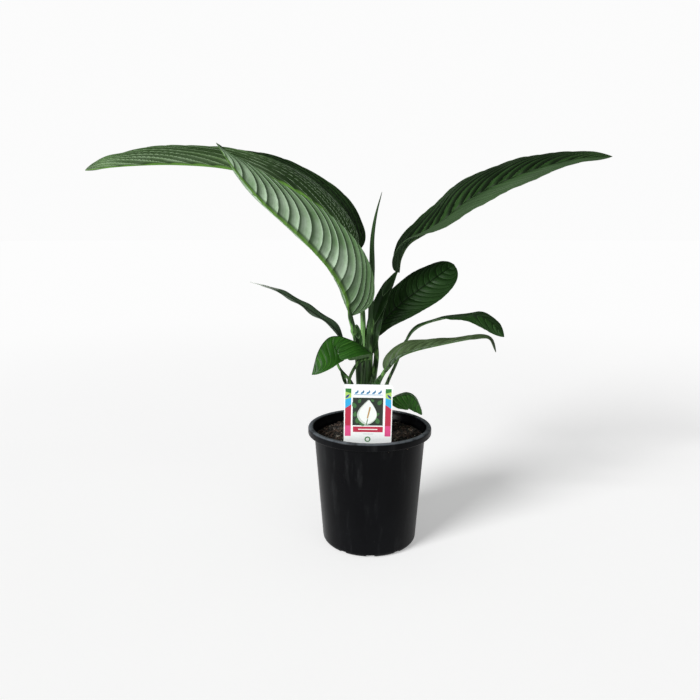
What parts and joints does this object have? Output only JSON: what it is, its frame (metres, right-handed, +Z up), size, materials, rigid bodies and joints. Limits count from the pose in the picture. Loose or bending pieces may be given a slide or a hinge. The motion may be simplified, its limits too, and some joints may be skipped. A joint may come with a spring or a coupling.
{
  "type": "potted peace lily",
  "caption": "Large-leaved peace lily in a round black nursery pot, with arching pleated leaves on long stalks, a rolled young leaf and a plain plant tag.",
  "frame": {"origin": "middle of the flat underside of the pot, where it stands", "axes": "+Z up; the largest leaves reach out along -X and +X; the plant tag faces -Y"},
  "size_m": [0.7902, 0.2473, 0.6321],
  "materials": {
    "pot": "moulded black polypropylene, satin, lightly scuffed",
    "mix": "moist composted bark and peat, matte and crumbly",
    "crown": "green stem tissue, matte",
    "stalk": "smooth mid-green stalk, soft sheen",
    "blade": "dark green leaf, satin above, paler and matte beneath",
    "blade_young": "bright green younger leaf, satin",
    "tag": "printed white plastic card, semi-gloss"
  },
  "bodies": {
    "root": {"pot": "pot", "potting_mix": "mix", "crown": "crown", "stalk_rear_left": "stalk", "blade_rear_left": "blade", "stalk_front_left": "stalk", "blade_front_left": "blade", "stalk_right": "stalk", "blade_right": "blade", "stalk_middle": "stalk", "blade_middle": "blade", "stalk_upper_right": "stalk", "blade_upper_right": "blade", "stalk_lower_right": "stalk", "blade_lower_right": "blade", "stalk_thin_left": "stalk", "blade_thin_left": "blade", "stalk_bright_left": "stalk", "blade_bright_left": "blade_young", "stalk_low_right": "stalk", "blade_low_right": "blade_young", "sheath_left": "stalk", "sheath_right": "stalk", "spear_leaf": "blade", "plant_tag": "tag"}
  },
  "joints": []
}
